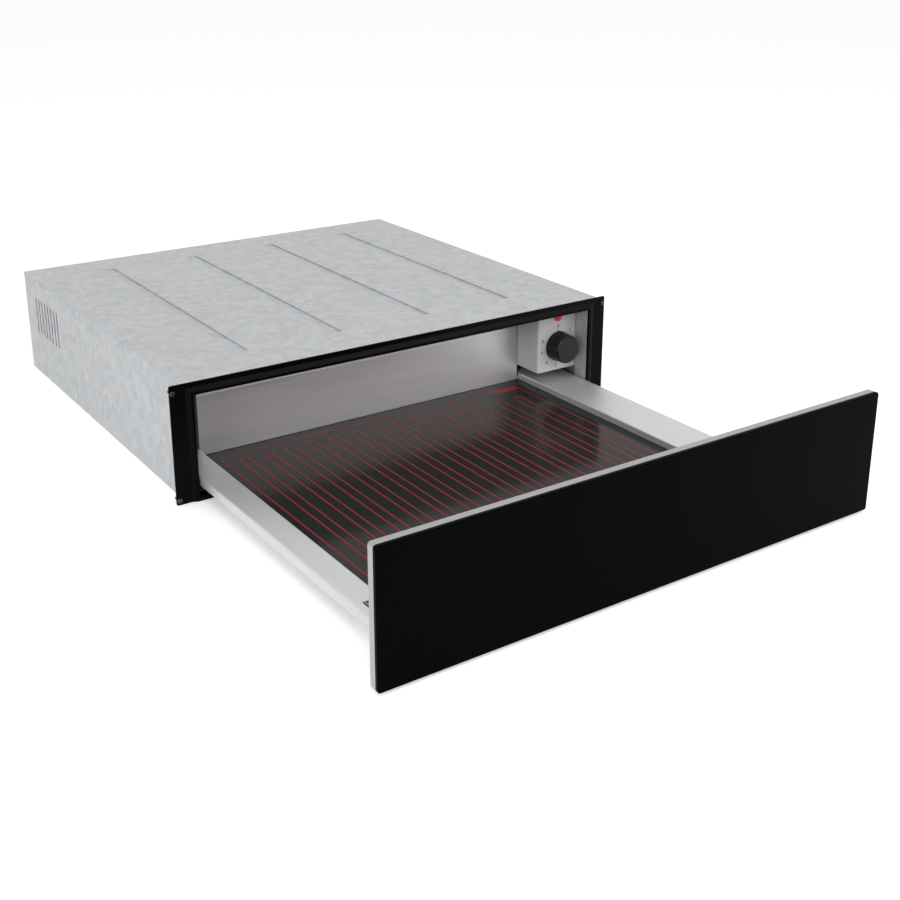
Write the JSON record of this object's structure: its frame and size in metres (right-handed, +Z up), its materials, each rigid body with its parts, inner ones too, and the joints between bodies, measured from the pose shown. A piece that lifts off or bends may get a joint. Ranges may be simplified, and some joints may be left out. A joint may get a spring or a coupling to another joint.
{
  "type": "warming drawer",
  "caption": "Built-in warming drawer pulled fully open: black glass front, heated glass plate with a red heater line, telescopic runners, housing with front frame and a knob in a control box.",
  "frame": {"origin": "middle of the housing's underside, in the plane of the front frame's flange", "axes": "+X to the right seen from the front, +Y into the niche (the drawer closes along +Y), +Z up"},
  "size_m": [0.594, 0.949, 0.134],
  "materials": {
    "black_glass": "gloss",
    "plate_glass": "gloss",
    "dark_bead": "matte",
    "satin_carrier": "satin",
    "stainless_sheet": "satin",
    "galvanised_sheet": "satin",
    "runner_steel": "satin",
    "black_enamel": "satin",
    "grey_enamel": "satin",
    "black_plastic": "matte",
    "white_plastic": "matte",
    "red_lens": "gloss",
    "red_print": "satin",
    "heating_foil": "satin",
    "mineral_mat": "matte",
    "steatite": "matte"
  },
  "bodies": {
    "housing": {"base_plate": "galvanised_sheet", "back_panel": "galvanised_sheet", "top_cover": "galvanised_sheet", "front_frame": "black_enamel", "side_wall_left": "galvanised_sheet", "side_wall_right": "galvanised_sheet", "control_box": "grey_enamel", "energy_regulator": "white_plastic", "pilot_lamp": "red_lens", "lamp_holder": "black_plastic", "terminal_box": "black_plastic", "terminal_block": "white_plastic", "cable_gland": "black_plastic", "latch_housing": "black_plastic", "runner_support_left": "galvanised_sheet", "runner_support_right": "galvanised_sheet", "outer_rail_left": "runner_steel", "outer_rail_right": "runner_steel"},
    "knob": {"control_knob": "black_plastic", "switch_shaft": "runner_steel"},
    "plunger": {"latch_plunger": "white_plastic"},
    "middle_left": {"middle_rail_left": "runner_steel"},
    "middle_right": {"middle_rail_right": "runner_steel"},
    "outer_cage_left": {"outer_cage_left": "runner_steel"},
    "outer_cage_right": {"outer_cage_right": "runner_steel"},
    "inner_cage_left": {"inner_cage_left": "runner_steel"},
    "inner_cage_right": {"inner_cage_right": "runner_steel"},
    "drawer": {"front_glass": "black_glass", "glass_seal": "dark_bead", "front_carrier": "satin_carrier", "inner_front": "stainless_sheet", "side_channel_left": "stainless_sheet", "side_channel_right": "stainless_sheet", "front_bracket_left": "galvanised_sheet", "front_bracket_right": "galvanised_sheet", "back_wall": "stainless_sheet", "drawer_base": "galvanised_sheet", "hot_plate": "plate_glass", "insulation_mat": "mineral_mat", "heater_print": "red_print", "heating_element": "heating_foil", "temperature_limiter": "steatite", "heater_connector": "steatite", "drawer_rail_left": "runner_steel", "drawer_rail_right": "runner_steel", "latch_striker": "galvanised_sheet"}
  },
  "joints": [
    {"name": "drawer_slide", "type": "slide", "parent": "housing", "child": "drawer", "axis": [0, 1, 0], "range_m": [0, 0.401]},
    {"name": "middle_left_slide", "type": "slide", "parent": "housing", "child": "middle_left", "axis": [0, 1, 0], "range_m": [0, 0.2005]},
    {"name": "outer_cage_left_slide", "type": "slide", "parent": "housing", "child": "outer_cage_left", "axis": [0, 1, 0], "range_m": [0, 0.10025]},
    {"name": "inner_cage_left_slide", "type": "slide", "parent": "housing", "child": "inner_cage_left", "axis": [0, 1, 0], "range_m": [0, 0.30075]},
    {"name": "middle_right_slide", "type": "slide", "parent": "housing", "child": "middle_right", "axis": [0, 1, 0], "range_m": [0, 0.2005]},
    {"name": "outer_cage_right_slide", "type": "slide", "parent": "housing", "child": "outer_cage_right", "axis": [0, 1, 0], "range_m": [0, 0.10025]},
    {"name": "inner_cage_right_slide", "type": "slide", "parent": "housing", "child": "inner_cage_right", "axis": [0, 1, 0], "range_m": [0, 0.30075]},
    {"name": "knob_turn", "type": "hinge", "parent": "housing", "child": "knob", "pos_m": [0.2385, 0.0248, 0.071], "axis": [0, 1, 0], "range_deg": [0, 291]},
    {"name": "latch_press", "type": "slide", "parent": "housing", "child": "plunger", "axis": [0, 1, 0], "range_m": [0, 0.012], "stiffness_N_per_m": 500, "springref_m": -0.004}
  ],
  "couplings": [
    {"joint": "middle_left_slide", "follows": "drawer_slide", "ratio": 0.5},
    {"joint": "outer_cage_left_slide", "follows": "drawer_slide", "ratio": 0.25},
    {"joint": "inner_cage_left_slide", "follows": "drawer_slide", "ratio": 0.75},
    {"joint": "middle_right_slide", "follows": "drawer_slide", "ratio": 0.5},
    {"joint": "outer_cage_right_slide", "follows": "drawer_slide", "ratio": 0.25},
    {"joint": "inner_cage_right_slide", "follows": "drawer_slide", "ratio": 0.75}
  ]
}
